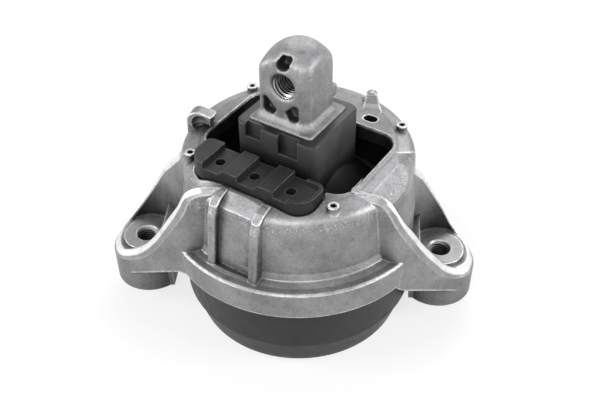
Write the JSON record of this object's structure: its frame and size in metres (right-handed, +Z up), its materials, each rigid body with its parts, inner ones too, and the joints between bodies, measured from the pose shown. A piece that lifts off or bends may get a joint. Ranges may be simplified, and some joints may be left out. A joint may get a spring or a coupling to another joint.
{
  "type": "engine mount",
  "caption": "Hydraulic engine mount with a cast footed housing, a rubber-sprung core with a cross threaded hole, a stop clip and a closing cup.",
  "frame": {"origin": "middle of the closing cup's bottom face", "axes": "+Z up along the drum's axis, +X through both foot holes, the front with the stop clip faces -Y"},
  "size_m": [0.186, 0.1304, 0.1495],
  "materials": {
    "cast_aluminium": "rough die-cast skin, not machined",
    "core_aluminium": "rough die-cast skin, threaded eye machined",
    "spring_rubber": "moulded black rubber, matt",
    "soft_rubber": "thin moulded black rubber, matt",
    "black_plastic": "moulded black plastic, slight sheen",
    "black_paint": "black dip paint on pressed steel, satin",
    "plain_steel": "plain pressed steel",
    "divider_aluminium": "die-cast, trimmed flat"
  },
  "bodies": {
    "root": {"housing": "cast_aluminium", "core": "core_aluminium", "rubber_spring": "spring_rubber", "spring_ring": "plain_steel", "stop_clip": "black_plastic", "lower_cup": "black_paint", "upper_track_plate": "divider_aluminium", "lower_track_plate": "divider_aluminium", "decoupler_membrane": "soft_rubber", "bellows": "soft_rubber", "bellows_ring": "plain_steel"}
  },
  "joints": []
}
